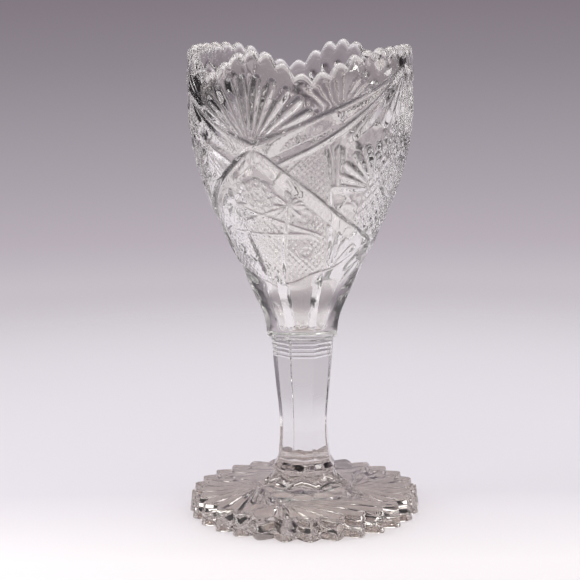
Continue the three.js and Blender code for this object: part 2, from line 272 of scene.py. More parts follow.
def rim_drop(azimuth):
    """Drop of the lobed rim below its highest point."""
    from_narrow = 90 - np.abs(90 - azimuth % 180)
    narrow = from_narrow < NARROW_HALF_ANGLE
    away = np.where(narrow, from_narrow / NARROW_HALF_ANGLE,
                    (90 - from_narrow) / (90 - NARROW_HALF_ANGLE))
    bend = away ** np.where(narrow, NARROW_BEND, WIDE_BEND)
    return RIM_DROP * np.sin(bend * np.pi / 2) ** 2


def bead_share(azimuth):
    """0 at the middle of a bead and 1 in the notch between two beads."""
    pitch = 360 / BEAD_COUNT
    return np.abs((azimuth + pitch / 2) % pitch - pitch / 2) / (pitch / 2)


def bead_drop(azimuth):
    """Drop of the rim's edge below the tops of its beads."""
    return BEAD_DEPTH * (1 - np.cos(bead_share(azimuth) * np.pi / 2))


# Cuts on the bowl's skin


def skin(points):
    """Skin points for pattern points, which are pairs of azimuth and height."""
    azimuth, height = np.asarray(points, float).T
    return place(azimuth, outer_radius(azimuth, height), height)


def from_point(point, distance, direction):
    """Pattern point at a distance and a direction from another. 0 is up and 90 is rightwards.

    The skin's slope depends on the height that is sought, so it is found in a few rounds.
    """
    angle = math.radians(direction)
    height = point[1]
    for _ in range(4):
        middle = (height + point[1]) / 2
        slope = (round_radius(middle + 1) - round_radius(middle - 1)) / 2
        height = point[1] + distance * math.cos(angle) / math.hypot(1, slope)
    radius = float(round_radius((height + point[1]) / 2))
    return (point[0] + math.degrees(distance * math.sin(angle) / radius), float(height))


def nearest_on(path, points):
    """Distance of each point to a polyline, and the share of its length there."""
    best = np.full(points.shape[:-1], np.inf)
    share = np.zeros(points.shape[:-1])
    lengths = np.linalg.norm(np.diff(path, axis=0), axis=1)
    starts = np.concatenate([[0], np.cumsum(lengths)]) / lengths.sum()
    for i, (a, b) in enumerate(zip(path[:-1], path[1:])):
        t = np.clip((points - a) @ (b - a) / ((b - a) @ (b - a)), 0, 1)
        distance = np.linalg.norm(points - a - t[..., None] * (b - a), axis=-1)
        closer = distance < best
        best = np.where(closer, distance, best)
        share = np.where(closer, lerp(starts[i], starts[i + 1], t), share)
    return best, share


# Profiles of a cut: its depth by the distance from its path, which is 1 at its edge


def vee(x):
    """A groove with straight sides."""
    return np.clip(1 - x, 0, 1)


def scoop(x):
    """A round hollow."""
    return np.clip(1 - x * x, 0, 1)


def gouge(x):
    """A round groove with steep sides."""
    return np.clip(1 - x * x, 0, 1) ** 0.65


def leaf(x):
    """A V with a slightly rounded bottom."""
    return np.clip((1 - np.sqrt(x * x + 0.02)) / (1 - math.sqrt(0.02)), 0, 1)


# Swells of a cut: its size by the share of its length


def even_ends(share):
    """Full size, with a short taper at both ends."""
    return np.clip(np.minimum(share, 1 - share) * 9 + 0.25, 0, 1)


def petal(share):
    """Grows for three quarters of the length, then shrinks a little."""
    return np.where(share < 0.75, lerp(0.18, 1, share / 0.75), lerp(1, 0.8, (share - 0.75) / 0.25))


def tapered(share):
    """Shrinks along the whole length."""
    return lerp(1, 0.3, share)


class Cut:
    """A groove along a path over the skin, with its width and depth by share of its length.

    Half of its width lies above the path, or another share of it where it leans. A cut that
    clears takes away what was cut before it under its own width.
    """

    def __init__(self, points, width, depth, profile=vee, swell=even_ends, above=0.5,
                 clears=False):
        points = np.array(points, float)
        knots = np.linspace(0, 1, len(points))
        # A bent path is a spline. A straight one is divided, so that it follows the round skin.
        if len(points) > 2:
            fine = np.linspace(0, 1, 6 * len(points))
            points = np.stack([spline(list(zip(knots, c)))(fine) for c in points.T], axis=1)
        else:
            fine = np.linspace(0, 1, 9)
            points = np.stack([np.interp(fine, knots, c) for c in points.T], axis=1)
        self.points = points
        self.width, self.depth = width, depth
        self.profile, self.swell, self.above = profile, swell, above
        self.clears = clears

    def mirrored(self, about):
        """The same cut on the other side of an azimuth."""
        other = copy.copy(self)
        other.points = self.points * (-1, 1) + (2 * about, 0)
        return other

    def take(self, field, points, azimuth, height):
        """Deepens the field, which is a depth for each of the points."""
        path = skin(self.points)
        low = path.min(0) - self.width
        high = path.max(0) + self.width
        near = np.all((points > low) & (points < high), axis=-1)
        if not near.any():
            return
        distance, share = nearest_on(path, points[near])
        size = self.swell(share)
        order = np.argsort(self.points[:, 0])
        line = np.interp(azimuth[near], self.points[order, 0], self.points[order, 1])
        side = np.where(height[near] > line, self.above, 1 - self.above)
        depth = self.depth * size * self.profile(distance / (self.width * side * size))
        if self.clears:
            beside = (share > 0) & (share < 1) & (depth > 0)
            field[near] = np.where(beside, depth, field[near])
        else:
            field[near] = np.maximum(field[near], depth)


def fan(vertex, directions, inner, outer, width, depth):
    """Petals that spread from a point, between an inner and an outer distance."""
    return [Cut([from_point(vertex, inner, d), from_point(vertex, outer, d)],
                width, depth, leaf, petal) for d in directions]


def crossing(centre, reach, directions, width, depth):
    """Mitres that cross at one point."""
    return [Cut([from_point(centre, reach, d), from_point(centre, reach, d + 180)], width, depth)
            for d in directions]


def star_field(field, points, centre, radius):
    """A hobstar: mitres between the points of a ring, with small crossing cuts among them."""
    middle = skin([centre])[0]
    right = skin([(centre[0] + 1, centre[1])])[0] - middle
    right /= np.linalg.norm(right)
    up = skin([(centre[0], centre[1] + 1)])[0] - middle
    up /= np.linalg.norm(up)
    away = points - middle
    x, y = away @ right, away @ up
    distance = np.linalg.norm(away, axis=-1)
    turn = np.arctan2(x, y)
    chord = math.cos(3 * math.pi / STAR_POINTS)
    cut = np.zeros(field.shape)
    for k in range(STAR_POINTS):
        toward = 2 * np.pi * (k + 0.5) / STAR_POINTS
        off = np.abs(distance * np.cos(turn - toward) - chord * radius)
        cut = np.maximum(cut, STAR_DEPTH * vee(off / (STAR_WIDTH / 2)))
    for along in (x + y, x - y):
        wave = np.abs((along / STAR_PITCH) % 1 - 0.5) * 2
        cut = np.maximum(cut, STAR_FACET * wave)
    within = distance < radius
    field[within] = (cut * smoothstep(radius - distance, 0, STAR_EDGE))[within]


def button_field(field, points, centre, radius, depth):
    """A raised round button inside a ring cut."""
    distance = np.linalg.norm(points - skin([centre])[0], axis=-1)
    ring = depth * vee(np.abs(distance - radius) / (radius * 0.34))
    dimple = 0.7 * depth * scoop(distance / (radius * 0.4))
    field[:] = np.maximum(np.where(distance < radius * 0.7, 0, field), np.maximum(ring, dimple))


def inside(polygon, azimuth, height):
    """True for the grid points inside a polygon of pattern points."""
    result = np.zeros(azimuth.shape, bool)
    corners = list(polygon)
    for (a0, h0), (a1, h1) in zip(corners, corners[1:] + corners[:1]):
        crosses = (h0 > height) != (h1 > height)
        at = a0 + (height - h0) / (h1 - h0 if h1 != h0 else 1e-9) * (a1 - a0)
        result ^= crosses & (azimuth < at)
    return result


def hatch_field(field, azimuth, height, polygon, pitch, directions, depth):
    """Crossing rows of V cuts inside a polygon, which leave small pyramids."""
    within = inside(polygon, azimuth, height)
    middle = np.mean(polygon, axis=0)
    radius = round_radius(height)
    x = radius * np.radians(azimuth - middle[0])
    y = (height - middle[1]) * 1.1  # the skin leans, so it is a little longer than its height
    for direction in directions:
        angle = math.radians(direction)
        along = x * math.cos(angle) + y * math.sin(angle)
        wave = np.abs((along / pitch) % 1 - 0.5) * 2
        cut = np.where(within, depth * wave, 0)
        np.maximum(field, cut, out=field)


def grain_field(field, azimuth, height, polygon, pitch, depth):
    """Fine bumps over a facet, as the mould leaves them."""
    x = round_radius(height) * np.radians(azimuth)
    bumps = np.sin(2 * np.pi * (x + 0.4 * height) / pitch)
    bumps = bumps * np.sin(2 * np.pi * (height - 0.5 * x) / pitch)
    field += np.where(inside(polygon, azimuth, height), depth * bumps, 0)


# The pattern's points and lines, as azimuth and height, on the quarter from azimuth 0 to 90
BAND_FOOT = (0, 201.5)  # where the band and the arm start, below a narrow lobe
BAND_TOP = (90, 239.5)  # where the band ends, below a wide lobe
SIDE_FAN = (68.6, 179)
SMALL_FAN_HIGH = (42, 218)
SMALL_FAN_LOW = (49, 136)
CROSSING = (17.8, 171.3)
STAR_1 = (0, 176.5)
STAR_2 = (90, 183.5)
BUTTON_HIGH = (27.3, 165.4)
BUTTON_LOW = (28.7, 146.7)
ARM = [BAND_FOOT, (18, 187.3), (38.6, 172.2), (54.2, 162.1), (81.7, 150.6), (90, 149)]
SWAG = [(0, 126.7), (20, 129), (37.4, 133.6), (56, 136.5), (70.2, 142.2), (90, 149)]
BAND = [BAND_FOOT, (10.6, 206), (50, 222.6), BAND_TOP]
BAND_LOW = [(10.5, 191.8), (25.5, 198.3), (48.6, 211.2), (84.3, 236), BAND_TOP]
BAND_FACET = [
    (5, 200), (30, 211.5), (56, 223), (84, 236), (66, 223), (45, 212), (26, 201), (12, 195),
]
HATCH_HIGH = [(13, 192), (38, 204), (39.5, 173), (17, 188)]
HATCH_LOW = [(0, 165), (15, 169), (42, 169), (45, 136), (38, 134), (0, 127)]
HATCH_SIDE = [(72, 206), (90, 206), (90, 151), (78, 153), (60, 163)]
PATTERN_FOOT = 122, 127  # heights between which the pattern sets in
PATTERN_TOP = 0.94, 0.985  # shares of the outer skin's height between which it dies away

# Sizes within a star
STAR_POINTS = 8
STAR_WIDTH = 3.0
STAR_DEPTH = 1.3
STAR_PITCH = 3.6
STAR_FACET = 1.1
STAR_EDGE = 3.0  # width over which a star dies away at its edge


def pattern_cuts():
    """The fans, mitres and lines of the pattern, in the order in which they are cut.

    The numbers after a fan's directions are its inner and outer distance and its petals' width and
    depth. Those after a cut's points are its width and depth.
    """
    return [
        *fan(BAND_FOOT, (6.65, 20, 33.3, 46.6, 59), 5, 34.5, 6.4, 2.8),
        *fan(BAND_TOP, (187, 201, 215), 5, 33, 6.8, 2.6),
        *fan(BAND_TOP, (230.5,), 6, 51, 8.0, 2.0),
        *fan(SIDE_FAN, (-86, -69, -52, -35, -18, 0), 2, 23, 5.6, 2.6),
        *fan(SMALL_FAN_HIGH, (38, 49, 60), 11, 24, 4.4, 1.2),
        *fan(SMALL_FAN_LOW, (20, 42, 64), 3, 19, 5.6, 1.4),
        Cut([(18.5, 184), (18, 172), (13.5, 153), (11.2, 140.7), (10, 131)], 3.6, 2.0),
        Cut([(38, 204.1), (42, 172), (47.9, 134.8)], 3.4, 2.0),
        Cut([(-42, 154.3), (0, 166), (16.1, 170.9), (31, 175)], 2.8, 1.5),
        Cut([(-38, 155.6), (0, 155.6), (28, 156), (40, 151)], 2.6, 1.3),
        Cut([(44.8, 202.8), (46.6, 179.7)], 5.0, 2.0, gouge),
        Cut([(53.5, 160), (49.5, 138)], 4.0, 2.4),
        *crossing(CROSSING, 9, (45, 90, 135), 3.0, 1.5),
        Cut(BAND, 12.5, 2.8, swell=tapered, above=0.26, clears=True),
        Cut(BAND_LOW, 3.4, 2.0),
        Cut(ARM, 8.2, 2.5, above=0.22, clears=True),
        Cut(SWAG, 7.5, 1.5, above=0.25, clears=True),
    ]


def quarter_relief(azimuth, height, points):
    """Depth of the pattern below the skin, for azimuths from 0 to 90."""
    field = np.zeros(azimuth.shape)
    hatch_field(field, azimuth, height, HATCH_HIGH, 2.6, (45, -45), 0.42)
    hatch_field(field, azimuth, height, HATCH_LOW, 2.6, (40, -40), 0.46)
    hatch_field(field, azimuth, height, HATCH_SIDE, 4.4, (45, -45), 0.9)
    star_field(field, points, STAR_1, 11.2)
    star_field(field, points, STAR_2, 12)
    button_field(field, points, BUTTON_HIGH, 4.6, 0.5)
    button_field(field, points, BUTTON_LOW, 4.2, 0.5)
    for cut in pattern_cuts():
        for version in (cut, cut.mirrored(0), cut.mirrored(90)):
            version.take(field, points, azimuth, height)
    grain_field(field, azimuth, height, BAND_FACET, 2.6, 0.16)
    return np.maximum(field, 0)


def softened(field):
    """Blurs the field a little, as pressing rounds every edge. Its columns run on by mirroring."""
    padded = np.pad(field, ((1, 1), (1, 1)), mode="reflect")
    padded = (padded[:-2] + 2 * padded[1:-1] + padded[2:]) / 4
    return (padded[:, :-2] + 2 * padded[:, 1:-1] + padded[:, 2:]) / 4


# Meshes


def rows_of(radius, height, columns):
    """Rows of a section: a radius and a height for each of the columns."""
    shape = (len(radius), columns)
    return np.stack([np.broadcast_to(radius, shape), np.broadcast_to(height, shape)])


def grid_faces(rows, columns):
    """Quads of a grid whose columns close round."""
    below = np.arange(rows - 1)[:, None] * columns + np.arange(columns)
    beside = np.arange(rows - 1)[:, None] * columns + (np.arange(columns) + 1) % columns
    return np.stack([below, beside, beside + columns, below + columns], axis=-1).reshape(-1, 4)


def add_object(name, data):
    obj = bpy.data.objects.new(name, data)
    bpy.context.scene.collection.objects.link(obj)
    return obj


def closed_object(name, grid, first, last, glassy, joint_ends):
    """Closed mesh through rings of points, with a middle point at each end.

    An end that is a joint gets the clear material of the fused joint.
    """
    rows, columns, _ = grid.shape
    points = np.concatenate([grid.reshape(-1, 3), [first, last]]) * MM
    ring = np.arange(columns)
    around = (ring + 1) % columns
    top = (rows - 1) * columns
    quads = grid_faces(rows, columns).tolist()
    low = np.stack([np.full(columns, rows * columns), around, ring], axis=1).tolist()
    high = np.stack([np.full(columns, rows * columns + 1), top + ring, top + around],
                    axis=1).tolist()
    mesh = bpy.data.meshes.new(name)
    mesh.from_pydata(points.tolist(), [], quads + low + high)
    mesh.shade_smooth()
    mesh.materials.append(glassy)
    mesh.materials.append(joint_material())
    index = np.zeros(len(quads) + 2 * columns, int)
    index[len(quads):len(quads) + columns] = int(joint_ends[0])
    index[len(quads) + columns:] = int(joint_ends[1])
    mesh.polygons.foreach_set("material_index", index)
    return add_object(name, mesh)


def sharpen(obj, degrees):
    """Marks the edges sharper than an angle, so that facets and the joints' rims shade crisply."""
    obj.data.set_sharp_from_angle(angle=math.radians(degrees))


def reduce(obj, triangles):
    """Takes out the triangles that flat places don't need, and applies the result."""
    triangulate = obj.modifiers.new("triangulate", "TRIANGULATE")
    triangulate.quad_method = "SHORTEST_DIAGONAL"
    decimate = obj.modifiers.new("decimate", "DECIMATE")
    corners = sum(len(p.vertices) - 2 for p in obj.data.polygons)
    decimate.ratio = min(1, triangles / corners)
    graph = bpy.context.evaluated_depsgraph_get()
    made = bpy.data.meshes.new_from_object(obj.evaluated_get(graph), depsgraph=graph)
    obj.modifiers.clear()
    old = obj.data
    obj.data = made
    bpy.data.meshes.remove(old)


# Materials


def new_material(name):
    """A material, its nodes and its links."""
    made = bpy.data.materials.new(name)
    made.use_nodes = True
    return made, made.node_tree.nodes, made.node_tree.links


def set_inputs(node, values):
    for name, value in values.items():
        node.inputs[name].default_value = value
    return node


def joint_material():
    """Where two pieces of the one glass body meet there is no surface, so light goes straight on."""
    made = bpy.data.materials.get("fused_joint")
    if made:
        return made
    made, nodes, links = new_material("fused_joint")
    nodes.clear()
    out = nodes.new("ShaderNodeOutputMaterial")
    clear = nodes.new("ShaderNodeBsdfTransparent")
    links.new(clear.outputs[0], out.inputs["Surface"])
    return made


def add_waves(nodes, links, where, principled, size, height):
    """Slight waves in the surface, as pressing leaves them."""
    waves = set_inputs(nodes.new("ShaderNodeTexNoise"), {"Scale": 1 / size, "Detail": 1.5})
    bump = set_inputs(nodes.new("ShaderNodeBump"), {"Strength": 1, "Distance": height})
    links.new(where.outputs["Object"], waves.inputs["Vector"])
    links.new(waves.outputs["Fac"], bump.inputs["Height"])
    links.new(bump.outputs["Normal"], principled.inputs["Normal"])


def add_marks(nodes, links, where, principled):
    """Faint handling marks, which are a little less glossy."""
    marks = set_inputs(nodes.new("ShaderNodeTexNoise"), {"Scale": MARK_SCALE, "Detail": 4})
    gloss = set_inputs(nodes.new("ShaderNodeMapRange"), {
        "From Min": 0.35, "From Max": 0.75, "To Min": 0.0, "To Max": MARK_ROUGHNESS,
    })
    links.new(where.outputs["Object"], marks.inputs["Vector"])
    links.new(marks.outputs["Fac"], gloss.inputs["Value"])
    links.new(gloss.outputs["Result"], principled.inputs["Roughness"])


def thin_shadow(nodes, links, principled):
    """Lets shadow rays through with a slight tint, so that the glass casts a light shadow."""
    light_path = nodes.new("ShaderNodeLightPath")
    clear = set_inputs(nodes.new("ShaderNodeBsdfTransparent"), {"Color": SHADOW_TINT})
    mix = nodes.new("ShaderNodeMixShader")
    links.new(light_path.outputs["Is Shadow Ray"], mix.inputs["Fac"])
    links.new(principled.outputs[0], mix.inputs[1])
    links.new(clear.outputs[0], mix.inputs[2])
    links.new(mix.outputs[0], nodes["Material Output"].inputs["Surface"])


def glass_material(name, tint_and_shade, wave_size, wave_height):
    """Clear pressed glass: fire-polished, slightly wavy, with faint handling marks in its gloss."""
    made, nodes, links = new_material(name)
    # Base colour: the glass's warm tinge, with painted shade darkening the stem's and the foot's
    principled = set_inputs(nodes["Principled BSDF"], {
        "Base Color": (*tint_and_shade, 1), "Transmission Weight": 1, "IOR": GLASS_IOR,
    })
    where = nodes.new("ShaderNodeTexCoord")
    add_waves(nodes, links, where, principled, wave_size, wave_height)
    add_marks(nodes, links, where, principled)
    thin_shadow(nodes, links, principled)
    return made


# Bowl


def bowl_skin(quarter, lobes, beads):
    """The outer skin with its pattern, from the neck up to the rim."""
    shares = np.concatenate([np.linspace(0, PLAIN_SHARE, PLAIN_ROWS)[:-1],
                             np.linspace(PLAIN_SHARE, 1, PATTERN_ROWS)])[:, None]
    shoulder = lobes - RIM_EDGE
    height = STEM_TOP + shares * (shoulder - STEM_TOP)
    height = height - beads * smoothstep(shares, BEAD_ROOT, 1)
    spread = np.broadcast_to(quarter, height.shape)
    radius = outer_radius(spread, height)
    points = place(spread, radius, height)
    fade = smoothstep(height, *PATTERN_FOOT) * (1 - smoothstep(shares, *PATTERN_TOP))
    depth = softened(quarter_relief(spread, height, points)) * fade
    slope = round_radius(height + 0.5) - round_radius(height - 0.5)
    tilt = np.hypot(1, slope)
    return np.stack([radius - depth / tilt, height + depth * slope / tilt])


def bowl_rim(edge, lobes, beads):
    """The rounded rim, from the skin's upper edge over to the cavity."""
    turns = np.linspace(0, np.pi, 13)[1:, None]
    radius = edge - RIM_WALL / 2 * (1 - np.cos(turns))
    height = lobes - beads - RIM_EDGE + RIM_EDGE * np.sin(turns)
    return np.stack([radius, height])


def bowl_cavity(quarter, lobes, beads, edge):
    """The cavity's wall, from the rim's inner edge down to the rounding of the floor.

    Its rows are closer together near the rim, where the beads end.
    """
    rim_base = lobes - RIM_EDGE
    down = np.concatenate([np.linspace(0, 0.06, 12)[1:-1], np.linspace(0.06, 1, 58)])[:, None]
    height = lerp(rim_base, CAVITY_FLOOR + FLOOR_ROUNDING, down)
    rolled = 1 - smoothstep(rim_base - height, 0, RIM_ROLL)
    height = height - beads * rolled
    offset = (edge - inner_radius(rim_base)) * rolled
    return np.stack([panelled(quarter, height, inner_radius(height)) + offset, height])


def bowl_floor(columns):
    """The cavity's floor, from its rounding inwards."""
    turns = np.linspace(0, np.pi / 2, 8)[1:, None]
    edge = float(inner_radius(CAVITY_FLOOR + FLOOR_ROUNDING))
    corner_radius = edge - FLOOR_ROUNDING * (1 - np.cos(turns))
    corner_height = CAVITY_FLOOR + FLOOR_ROUNDING * (1 - np.sin(turns))
    flat_radius = corner_radius[-1] * np.array([0.75, 0.5, 0.25])[:, None]
    flat_height = np.full((3, 1), CAVITY_FLOOR)
    return rows_of(np.concatenate([corner_radius, flat_radius]),
                   np.concatenate([corner_height, flat_height]), columns)


def make_bowl():
    """The bowl. One quarter is modelled, and the others mirror it."""
    azimuth = np.arange(BOWL_COLUMNS) * 360 / BOWL_COLUMNS
    quarter = azimuth[:QUARTER_COLUMNS + 1]
    lobes = VASE_TOP - rim_drop(quarter)
    beads = bead_drop(quarter)
    outer = bowl_skin(quarter, lobes, beads)
    rim = bowl_rim(outer[0, -1], lobes, beads)
    inner = bowl_cavity(quarter, lobes, beads, rim[0, -1])
    section = np.concatenate([outer, rim, inner, bowl_floor(quarter.size)], axis=1)
    across = np.arange(BOWL_COLUMNS) % (2 * QUARTER_COLUMNS)
    section = section[:, :, QUARTER_COLUMNS - np.abs(QUARTER_COLUMNS - across)]
    bowl = closed_object("bowl_glass", place(azimuth, section[0], section[1]),
                         (0, 0, STEM_TOP), (0, 0, CAVITY_FLOOR),
                         glass_material("bowl_glass", *BOWL_GLASS), (True, False))
    reduce(bowl, BOWL_TRIANGLES)
    return bowl


# Stem


def ring_groove(above, rings_base):
    """Depth of the grooves between the rings, by the height above the stem's base."""
    middle, half_width = RING_GROOVE
    in_ring = np.clip((above - rings_base) / RING_PITCH, 0, RING_COUNT) % 1
    groove = RING_DEPTH * np.clip(1 - ((in_ring - middle) / half_width) ** 2, 0, 1)
    return np.where(above <= rings_base, 0, groove)


def make_stem():
    """The octagonal stem with its rings."""
    azimuth = np.arange(STEM_COLUMNS) * 360 / STEM_COLUMNS
    corner_at = spline([
        (0, STEM_BASE_CORNER), (0.1, lerp(STEM_WAIST_CORNER, STEM_BASE_CORNER, 0.35)),
        (0.3, STEM_WAIST_CORNER), (0.6, lerp(STEM_WAIST_CORNER, STEM_TOP_CORNER, 0.42)),
        (1, STEM_TOP_CORNER)])
    rings_base = STEM_LENGTH - RING_COUNT * RING_PITCH
    above = np.concatenate([np.linspace(0, rings_base, 60)[:-1],
                            np.linspace(rings_base, STEM_LENGTH, 80)])[:, None]
    radius = octagon(azimuth, corner_at(above / STEM_LENGTH)) - ring_groove(above, rings_base)
    return closed_object("stem_glass", place(azimuth, radius, STEM_BASE + above),
                         (0, 0, STEM_BASE), (0, 0, STEM_TOP),
                         glass_material("stem_glass", *STEM_GLASS_AND_SHADE), (True, True))


# Foot


def tooth_share(azimuth):
    """0 at the tip of a tooth and 1 in the valley between two teeth."""
    pitch = 360 / TOOTH_COUNT
    return np.abs((azimuth - TOOTH_PHASE + pitch / 2) % pitch - pitch / 2) / (pitch / 2)


def foot_rays():
    """Starts and ends of the rays, which are the same again after half a turn."""
    pitch = 360 / TOOTH_COUNT
    rays = [(start, TOOTH_PHASE + tooth * pitch) for start, teeth in RAY_FANS for tooth in teeth]
    rays += RAYS_BETWEEN
    return [(place(start[0] + turn, start[1], 0.0), place(end + turn, RAY_END, 0.0))
            for turn in (0, 180) for start, end in rays]


def ray_field(points):
    """Depth of the rays, which widen and deepen outwards."""
    field = np.zeros(points.shape[:-1])
    for start, end in foot_rays():
        distance, share = nearest_on(np.stack([start, end]), points)
        size = lerp(0.1, 1, share)
        ray = RAY_DEPTH * size ** 0.5 * leaf(distance / (RAY_WIDTH / 2 * size))
        field = np.maximum(field, ray)
    return field


def hollow_field(points):
    """Depth of a ring of round hollows under the plinth, one below each of its sides."""
    field = np.zeros(points.shape[:-1])
    for k in range(8):
        middle = place(HALF_SIDE * (1 + 2 * k), HOLLOW_RING, 0.0)
        distance = np.linalg.norm(points - middle, axis=-1)
        field = np.maximum(field, HOLLOW_DEPTH * scoop(distance / HOLLOW_RADIUS))
    return field


def foot_underside(azimuth, edge):
    """The underside, from its middle out to the teeth."""
    radius = lerp(1.0, edge - TOOTH_BEVEL, np.linspace(0, 1, 86)[:, None])
    rest_inner = VALLEY_RADIUS - REST_RING_WIDTH
    slope = smoothstep(radius, rest_inner - RECESS_SLOPE, rest_inner)
    flat = place(azimuth, radius, 0.0)
    rays = ray_field(flat) * smoothstep(edge - radius, *RAY_FADE)
    pressed = np.maximum(rays, hollow_field(flat))
    return np.stack([radius, UNDERSIDE_RECESS * (1 - slope) + pressed])


def foot_edge(edge):
    """The teeth's upright faces, with a rounding below and one above."""
    turns = np.linspace(0, 1, 6)[:, None] * np.pi / 2
    inwards = TOOTH_BEVEL * (1 - np.sin(turns))
    upwards = TOOTH_BEVEL * (1 - np.cos(turns))
    share = np.linspace(0, 1, 7)[1:-1, None]
    side_height = lerp(TOOTH_BEVEL, FOOT_EDGE_HEIGHT - TOOTH_BEVEL, share)
    top_edge = edge - TOOTH_DRAFT
    return np.concatenate([
        rows_of(edge - inwards[1:], upwards[1:], edge.size),
        rows_of(edge - TOOTH_DRAFT * share, side_height, edge.size),
        rows_of(top_edge - inwards[::-1], FOOT_EDGE_HEIGHT - upwards[::-1], edge.size),
    ], axis=1)


def foot_top(azimuth, edge):
    """The foot's top, which rises gently from the teeth and then climbs to the plinth."""
    inner_edge = octagon(azimuth, PLINTH_CORNER - PLINTH_LIP)
    share = np.linspace(0, 1, 56)[1:, None]
    radius = lerp(edge - TOOTH_DRAFT - TOOTH_BEVEL, inner_edge, share)
    outwards = (radius - TOP_RISE_RADIUS) / (VALLEY_RADIUS - TOP_RISE_RADIUS)
    gentle = FOOT_EDGE_HEIGHT + TOP_RISE * (1 - np.clip(outwards, 0, 1)) ** 1.5
    cone_foot = CONE_RADIUS + CONE_TONGUE * side_share(azimuth) ** 1.5
    climb = np.clip((cone_foot - radius) / (cone_foot - inner_edge), 0, 1) ** 1.6
    return np.stack([radius, gentle + (PLINTH_BASE - PLINTH_STEP - gentle) * climb])


def foot_plinth(azimuth):
    """The plinth's sides, from its scalloped lower edge up to the stem."""
    share = np.linspace(0, 1, 14)[:, None]
    scallop = PLINTH_SCALLOP * np.sin(side_share(azimuth) * np.pi / 2) ** 2
    lip = np.sin(np.clip(share * 5, 0, 1) * np.pi / 2)
    flared = lerp(PLINTH_CORNER - PLINTH_LIP, PLINTH_CORNER, lip)
    corner = lerp(flared, STEM_BASE_CORNER, smoothstep(share, 0.15, 1))
    return np.stack([octagon(azimuth, corner), lerp(PLINTH_BASE - scallop, STEM_BASE, share)])


def make_foot():
    """The foot with its teeth, its rayed underside and the plinth."""
    azimuth = np.arange(FOOT_COLUMNS) * 360 / FOOT_COLUMNS + TOOTH_PHASE
    edge = FOOT_RADIUS - TOOTH_DEPTH * tooth_share(azimuth) ** TOOTH_BULGE
    section = np.concatenate([
        foot_underside(azimuth, edge), foot_edge(edge), foot_top(azimuth, edge),
        foot_plinth(azimuth),
    ], axis=1)
    return closed_object("foot_glass", place(azimuth, section[0], section[1]),
                         (0, 0, UNDERSIDE_RECESS), (0, 0, STEM_BASE),
                         glass_material("foot_glass", *FOOT_GLASS_AND_SHADE), (False, True))


for obj, node in ((make_bowl(), "bowl"), (make_stem(), "stem"), (make_foot(), "foot")):
    sharpen(obj, CREASE_ANGLE)
    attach(obj, "root")
    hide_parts(node)


# Stage

GROUND_RADIUS = 1.6
GROUND_FADE = 0.22, 0.75  # radii between which the ground gives way to the backdrop
# The floor's colour is painted light: lit white in front and painted shade, grey, behind
FLOOR_SHADE_TURN = -0.09, 0.03  # where, from front to back, the floor turns from white to grey
FLOOR_LIT_FRONT = (0.96, 0.915, 0.93, 1)
FLOOR_SHADED_BACK = (0.755, 0.72, 0.77, 1)


def linear(red, green, blue):
    """Scene colour of a display colour given from 0 to 255."""
    def one(value):
        value /= 255
        return value / 12.92 if value <= 0.04045 else ((value + 0.055) / 1.055) ** 2.4
    return (one(red), one(green), one(blue), 1)


def color_mix(nodes, values):
    """Node that mixes its colours A and B by its Factor."""
    node = nodes.new("ShaderNodeMix")
    node.data_type = "RGBA"
    return set_inputs(node, values)


def ground_material():
    """Matt paint, white in front and grey behind, that gives way to the backdrop further out. The
    white and grey are painted light and painted shade, for the lamps lighting the floor more in
    front than behind.
    """
    made, nodes, links = new_material("ground")
    principled = set_inputs(nodes["Principled BSDF"], {"Roughness": 0.9, "Specular IOR Level": 0.1})
    where = nodes.new("ShaderNodeTexCoord")
    parts = nodes.new("ShaderNodeSeparateXYZ")
    depth = set_inputs(nodes.new("ShaderNodeMapRange"),
                       {"From Min": FLOOR_SHADE_TURN[0], "From Max": FLOOR_SHADE_TURN[1]})
    # Painted light in front and painted shade behind
    painted_light_and_shade = color_mix(nodes, {"A": FLOOR_LIT_FRONT, "B": FLOOR_SHADED_BACK})
    links.new(where.outputs["Object"], parts.inputs[0])
    links.new(parts.outputs["Y"], depth.inputs["Value"])
    links.new(depth.outputs["Result"], painted_light_and_shade.inputs["Factor"])
    links.new(painted_light_and_shade.outputs["Result"], principled.inputs["Base Color"])
    length = nodes.new("ShaderNodeVectorMath")
    length.operation = "LENGTH"
    fade = nodes.new("ShaderNodeMapRange")
    fade.interpolation_type = "SMOOTHSTEP"
    set_inputs(fade, {"From Min": GROUND_FADE[0], "From Max": GROUND_FADE[1]})
    clear = nodes.new("ShaderNodeBsdfTransparent")
    mix = nodes.new("ShaderNodeMixShader")
    links.new(where.outputs["Object"], length.inputs[0])
    links.new(length.outputs["Value"], fade.inputs["Value"])
    links.new(fade.outputs["Result"], mix.inputs["Fac"])
    links.new(principled.outputs[0], mix.inputs[1])
    links.new(clear.outputs[0], mix.inputs[2])
    links.new(mix.outputs[0], nodes["Material Output"].inputs["Surface"])
    return made


def make_ground():
    """A pale floor that fades into the backdrop, so that no horizon shows."""
    mesh = bpy.data.meshes.new("ground")
    ring = [(GROUND_RADIUS * math.cos(a), GROUND_RADIUS * math.sin(a), 0)
            for a in np.linspace(0, 2 * math.pi, 97)[:-1]]
    mesh.from_pydata(ring, [], [list(range(96))])
    mesh.materials.append(ground_material())
    ground = add_object("ground", mesh)


